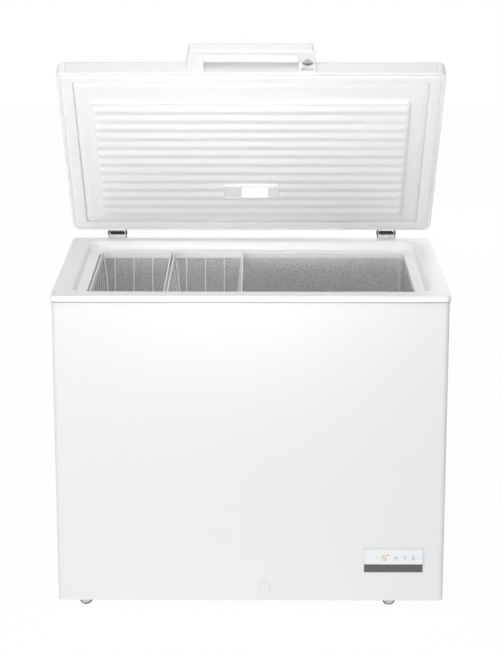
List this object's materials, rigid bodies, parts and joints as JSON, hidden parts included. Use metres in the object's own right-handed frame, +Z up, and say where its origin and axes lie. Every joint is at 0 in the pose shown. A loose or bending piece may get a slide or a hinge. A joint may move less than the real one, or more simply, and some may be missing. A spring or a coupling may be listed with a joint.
{
  "type": "chest freezer",
  "caption": "White chest freezer standing open, with a ribbed lid on sprung hinges, an embossed tank, hanging baskets, a corner control panel and castors.",
  "frame": {"origin": "on the floor, at the middle of the whole object's footprint, which runs from the collar's front to the rear bumpers' ends and, across, over the collar's width", "axes": "+X to the right seen from the front, +Y to the back, +Z up"},
  "size_m": [0.945, 0.643, 1.3567],
  "materials": {
    "white_enamel": "gloss",
    "galvanised_steel": "satin",
    "white_moulding": "satin",
    "embossed_aluminium": "satin",
    "coil_aluminium": "satin",
    "copper": "satin",
    "foam": "matte",
    "black_enamel": "gloss",
    "dark_rubber": "matte",
    "gasket_rubber": "matte",
    "zinc_steel": "satin",
    "chrome": "polished",
    "dark_moulding": "matte",
    "castor_nylon": "matte",
    "dark_panel": "gloss",
    "white_panel": "gloss",
    "circuit_board": "satin",
    "lamp_diffuser": "satin"
  },
  "bodies": {
    "cabinet": {"back_panel": "galvanised_steel", "base_pan": "galvanised_steel", "breaker_strip": "white_moulding", "bulkhead": "galvanised_steel", "cabinet_foam": "foam", "capillary_tube": "copper", "castor_axles": "zinc_steel", "castor_cups": "galvanised_steel", "collar": "white_moulding", "compressor": "black_enamel", "compressor_bolts": "zinc_steel", "compressor_grommets": "dark_rubber", "compressor_tray": "galvanised_steel", "condenser_coil": "copper", "control_bezel": "white_moulding", "cord_inlet": "dark_rubber", "display_board": "circuit_board", "display_window": "white_panel", "drain_tube": "white_moulding", "evaporator_coil": "coil_aluminium", "filter_drier": "copper", "hinge_leaf_screws": "zinc_steel", "hinge_leaves": "galvanised_steel", "hinge_pins": "zinc_steel", "hinge_springs": "zinc_steel", "inverter_box": "dark_moulding", "outer_casing": "white_enamel", "panel_strip": "dark_panel", "rear_cover": "dark_moulding", "rear_cover_screws": "zinc_steel", "rear_spacers": "dark_moulding", "starter_cover": "dark_moulding", "suction_line": "copper", "tank_liner": "embossed_aluminium"},
    "lid": {"lid_skin": "white_enamel", "lid_corner_caps": "white_moulding", "lid_foam": "foam", "lid_frame": "white_moulding", "lid_gasket": "gasket_rubber", "lid_liner": "white_moulding", "lid_handle": "white_moulding", "handle_screws": "zinc_steel", "lamp_housing": "white_moulding", "lamp_lens": "lamp_diffuser", "lamp_board": "circuit_board", "hinge_arms": "galvanised_steel", "hinge_arm_screws": "zinc_steel"},
    "lock": {"lock_barrel": "chrome", "lock_cam": "zinc_steel"},
    "drain_cap": {"drain_cap": "white_moulding"},
    "drain_plug": {"drain_plug": "dark_rubber"},
    "basket_left": {"basket_left": "white_moulding"},
    "basket_right": {"basket_right": "white_moulding"},
    "castor_wheel_back_left": {"castor_wheel_back_left": "castor_nylon"},
    "castor_wheel_back_right": {"castor_wheel_back_right": "castor_nylon"},
    "castor_wheel_front_left": {"castor_wheel_front_left": "castor_nylon"},
    "castor_wheel_front_right": {"castor_wheel_front_right": "castor_nylon"}
  },
  "joints": [
    {"name": "lid_hinge", "type": "hinge", "parent": "cabinet", "child": "lid", "pos_m": [0, 0.2855, 0.801], "axis": [-1, 0, 0], "range_deg": [-53.2, 21.8]},
    {"name": "lock_turn", "type": "hinge", "parent": "lid", "child": "lock", "pos_m": [0.136, -0.09788, 1.30847], "axis": [0, -0.8007, -0.599], "range_deg": [0, 90]},
    {"name": "drain_cap_pull", "type": "slide", "parent": "cabinet", "child": "drain_cap", "axis": [0, -1, 0], "range_m": [0, 0.03]},
    {"name": "drain_plug_lift", "type": "slide", "parent": "cabinet", "child": "drain_plug", "axis": [0, 0, 1], "range_m": [0, 0.03]},
    {"name": "basket_left_lift", "type": "slide", "parent": "cabinet", "child": "basket_left", "axis": [0, 0, 1], "range_m": [0, 0.05]},
    {"name": "basket_right_slide", "type": "slide", "parent": "cabinet", "child": "basket_right", "axis": [1, 0, 0], "range_m": [0, 0.41]},
    {"name": "castor_front_left_roll", "type": "hinge", "parent": "cabinet", "child": "castor_wheel_front_left", "pos_m": [-0.404, -0.2877, 0.016], "axis": [0, 1, 0], "continuous": true},
    {"name": "castor_front_right_roll", "type": "hinge", "parent": "cabinet", "child": "castor_wheel_front_right", "pos_m": [0.339, -0.2877, 0.016], "axis": [0, 1, 0], "continuous": true},
    {"name": "castor_back_left_roll", "type": "hinge", "parent": "cabinet", "child": "castor_wheel_back_left", "pos_m": [-0.404, 0.2187, 0.016], "axis": [0, 1, 0], "continuous": true},
    {"name": "castor_back_right_roll", "type": "hinge", "parent": "cabinet", "child": "castor_wheel_back_right", "pos_m": [0.339, 0.2187, 0.016], "axis": [0, 1, 0], "continuous": true}
  ]
}
